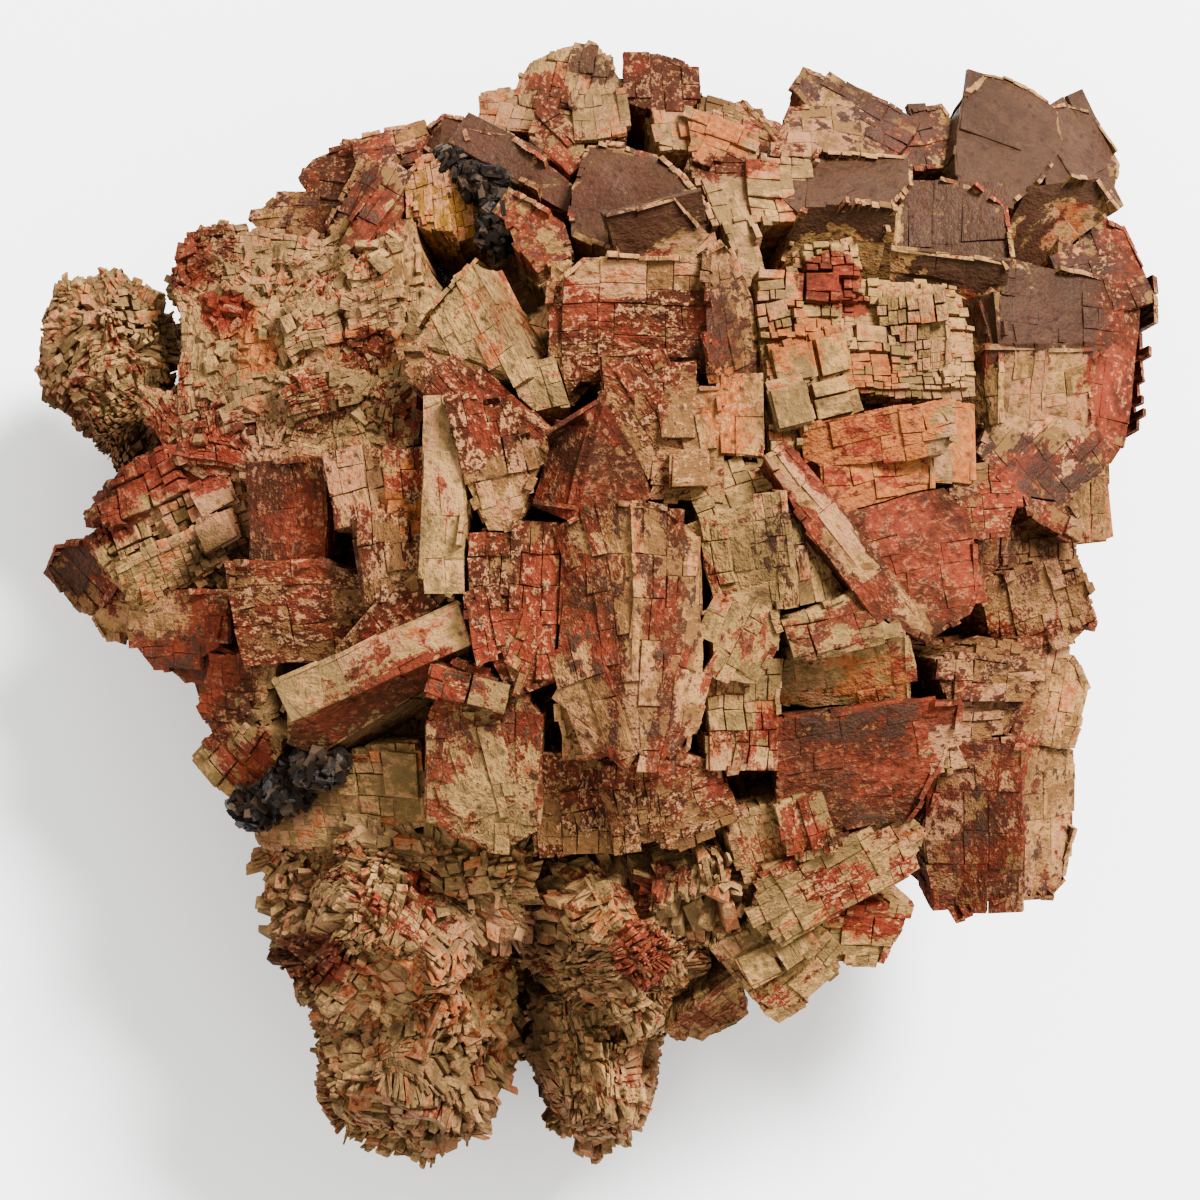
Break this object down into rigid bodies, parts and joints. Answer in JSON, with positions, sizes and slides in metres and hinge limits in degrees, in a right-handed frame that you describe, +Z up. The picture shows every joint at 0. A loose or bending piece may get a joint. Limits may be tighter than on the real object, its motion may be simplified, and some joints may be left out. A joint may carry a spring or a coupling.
{
  "type": "mineral specimen",
  "caption": "Microcline crystals, blocky and stepped, grown together in a dome over a lump of matrix, with granular knobs and black crusts.",
  "frame": {"origin": "centre of the specimen's bounding box at the flat cut that it rests on", "axes": "+Z up, the way the crystals point; +X to the picture's right and +Y to the picture's top"},
  "size_m": [0.1788, 0.1784, 0.0901],
  "materials": {
    "blade_cream": "cream to tan cleavage faces, some stained red",
    "slab_pink_diagonal": "cream to tan cleavage faces, some stained red",
    "slab_pale_on_edge": "cream to tan cleavage faces, some stained red",
    "crystal_red_top": "cleavage faces stained red, with pale flecks",
    "crystal_red_face": "cleavage faces stained red, with pale flecks",
    "crystal_red_point": "cleavage faces stained red, with pale flecks",
    "slab_red_white": "cleavage faces stained red, with pale flecks",
    "prism_tan_pointed": "cream to tan cleavage faces, some stained red",
    "crystal_mauve_top": "smooth mauve-brown skin over cream feldspar",
    "slab_mauve_diagonal": "smooth mauve-brown skin over cream feldspar",
    "crystal_ochre": "ochre yellow, dull",
    "prism_cream_left": "cream to tan cleavage faces, some stained red",
    "crystal_red_right": "cleavage faces stained red, with pale flecks",
    "crystal_mauve_right": "smooth mauve-brown skin over cream feldspar",
    "slab_mauve_right": "smooth mauve-brown skin over cream feldspar",
    "crystal_dark_red": "cleavage faces stained red, with pale flecks",
    "crystal_brown_red": "smooth brown skin over cream feldspar",
    "crust_black_upper": "black crust with small glints",
    "crust_black_lower": "black crust with small glints",
    "column_centre": "cleavage faces stained red, with pale edges",
    "crystals_red_centre": "cleavage faces stained red, with pale flecks",
    "cubes_lower_left": "cream to tan cleavage faces, some stained red",
    "blocks_red_lower": "cleavage faces stained red, with pale flecks",
    "crystal_orange": "cleavage faces stained orange",
    "crystals_brown_edge": "smooth brown skin over cream feldspar",
    "crystal_brown_corner": "smooth brown skin over cream feldspar",
    "crystals_pale_top": "cream to tan cleavage faces, some stained red",
    "crystals_maroon_rim": "smooth maroon skin over cream feldspar",
    "slabs_parallel_left": "brown and pink cleavage faces",
    "crystals_left_tips": "cream to tan cleavage faces, some stained red",
    "block_rounded_lower": "cream to tan cleavage faces, some stained red",
    "blocks_cream_top": "cream to tan cleavage faces, some stained red",
    "crystals_red_left": "cleavage faces stained red, with pale flecks",
    "blocks_tan_centre": "cream to tan cleavage faces, some stained red",
    "crystal_big_right": "mauve-brown skin, red stained side",
    "crystals_right_hollow": "cream to tan cleavage faces, some stained red",
    "crystals_lower_right": "cream to tan cleavage faces, some stained red",
    "stack_tan_left": "cream to tan cleavage faces, some stained red",
    "crystal_upper_centre": "cream to tan cleavage faces, some stained red",
    "bricks_right_centre": "cream to tan cleavage faces, some stained red",
    "field_granular_left": "finely bladed, cream to pinkish tan, dull",
    "knob_left": "finely bladed, cream to pinkish tan, dull",
    "knob_bottom_left": "finely bladed, cream to pinkish tan, dull",
    "knob_bottom_right": "finely bladed, cream to pinkish tan, dull",
    "matrix": "rough broken rock, tan to brown"
  },
  "bodies": {
    "root": {"blade_cream": "blade_cream", "slab_pink_diagonal": "slab_pink_diagonal", "slab_pale_on_edge": "slab_pale_on_edge", "crystal_red_top": "crystal_red_top", "crystal_red_face": "crystal_red_face", "crystal_red_point": "crystal_red_point", "slab_red_white": "slab_red_white", "prism_tan_pointed": "prism_tan_pointed", "crystal_mauve_top": "crystal_mauve_top", "slab_mauve_diagonal": "slab_mauve_diagonal", "crystal_ochre": "crystal_ochre", "prism_cream_left": "prism_cream_left", "crystal_red_right": "crystal_red_right", "crystal_mauve_right": "crystal_mauve_right", "slab_mauve_right": "slab_mauve_right", "crystal_dark_red": "crystal_dark_red", "crystal_brown_red": "crystal_brown_red", "crust_black_upper": "crust_black_upper", "crust_black_lower": "crust_black_lower", "column_centre": "column_centre", "crystals_red_centre": "crystals_red_centre", "cubes_lower_left": "cubes_lower_left", "blocks_red_lower": "blocks_red_lower", "crystal_orange": "crystal_orange", "crystals_brown_edge": "crystals_brown_edge", "crystal_brown_corner": "crystal_brown_corner", "crystals_pale_top": "crystals_pale_top", "crystals_maroon_rim": "crystals_maroon_rim", "slabs_parallel_left": "slabs_parallel_left", "crystals_left_tips": "crystals_left_tips", "block_rounded_lower": "block_rounded_lower", "blocks_cream_top": "blocks_cream_top", "crystals_red_left": "crystals_red_left", "blocks_tan_centre": "blocks_tan_centre", "crystal_big_right": "crystal_big_right", "crystals_right_hollow": "crystals_right_hollow", "crystals_lower_right": "crystals_lower_right", "stack_tan_left": "stack_tan_left", "crystal_upper_centre": "crystal_upper_centre", "bricks_right_centre": "bricks_right_centre", "field_granular_left": "field_granular_left", "knob_left": "knob_left", "knob_bottom_left": "knob_bottom_left", "knob_bottom_right": "knob_bottom_right", "matrix": "matrix"}
  },
  "joints": []
}
